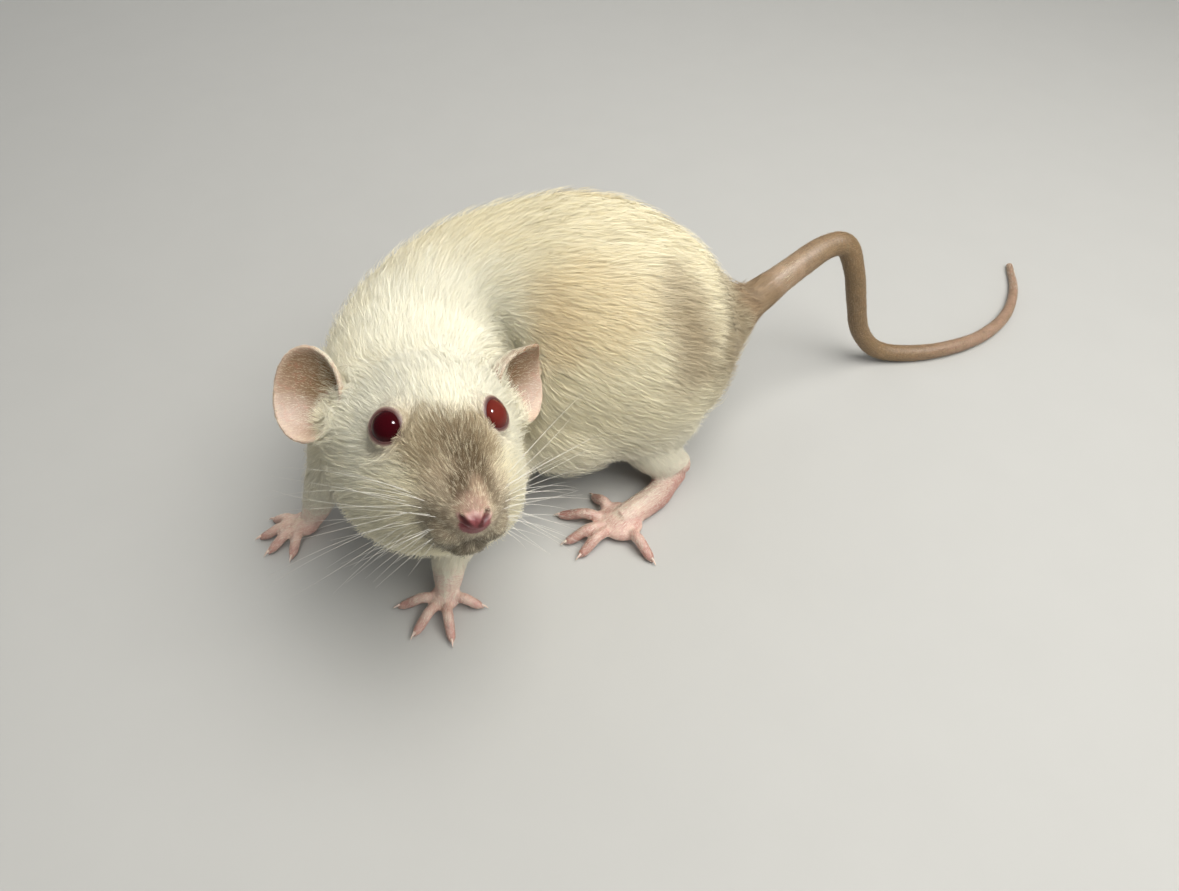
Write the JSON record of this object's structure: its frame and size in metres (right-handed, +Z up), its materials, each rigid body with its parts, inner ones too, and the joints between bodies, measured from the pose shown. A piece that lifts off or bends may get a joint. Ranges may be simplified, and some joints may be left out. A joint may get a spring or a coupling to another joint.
{
  "type": "pet rat",
  "caption": "Life-size still model of a cream-white pet rat with ruby eyes and a beige face, on all fours with its head raised and its tail arched down to the floor.",
  "frame": {"origin": "on the floor, under the middle of the whole animal's box", "axes": "+Z up, +Y away from the viewer of the picture, -Y the way the face looks, +X towards the tail"},
  "size_m": [0.2056, 0.1434, 0.0634],
  "materials": {
    "coat": "short soft fur, cream white with beige and grey-brown patches",
    "skin": "bare pink skin, fine creases",
    "ear_skin": "thin pink skin with very fine down",
    "eye": "wet gloss, deep ruby red",
    "tail_skin": "scaly pinkish-tan skin in fine rings"
  },
  "bodies": {
    "root": {"head": "coat", "neck": "coat", "chest": "coat", "torso": "coat", "rump": "coat", "foreleg_left": "coat", "foreleg_right": "coat", "hind_leg_left": "coat", "hind_leg_right": "coat", "ear_left": "ear_skin", "ear_right": "ear_skin", "eye_left": "eye", "eye_right": "eye", "forepaw_left": "skin", "forepaw_right": "skin", "hind_foot_left": "skin", "hind_foot_right": "skin", "tail_1": "tail_skin", "tail_2": "tail_skin", "tail_3": "tail_skin", "tail_4": "tail_skin"}
  },
  "joints": []
}
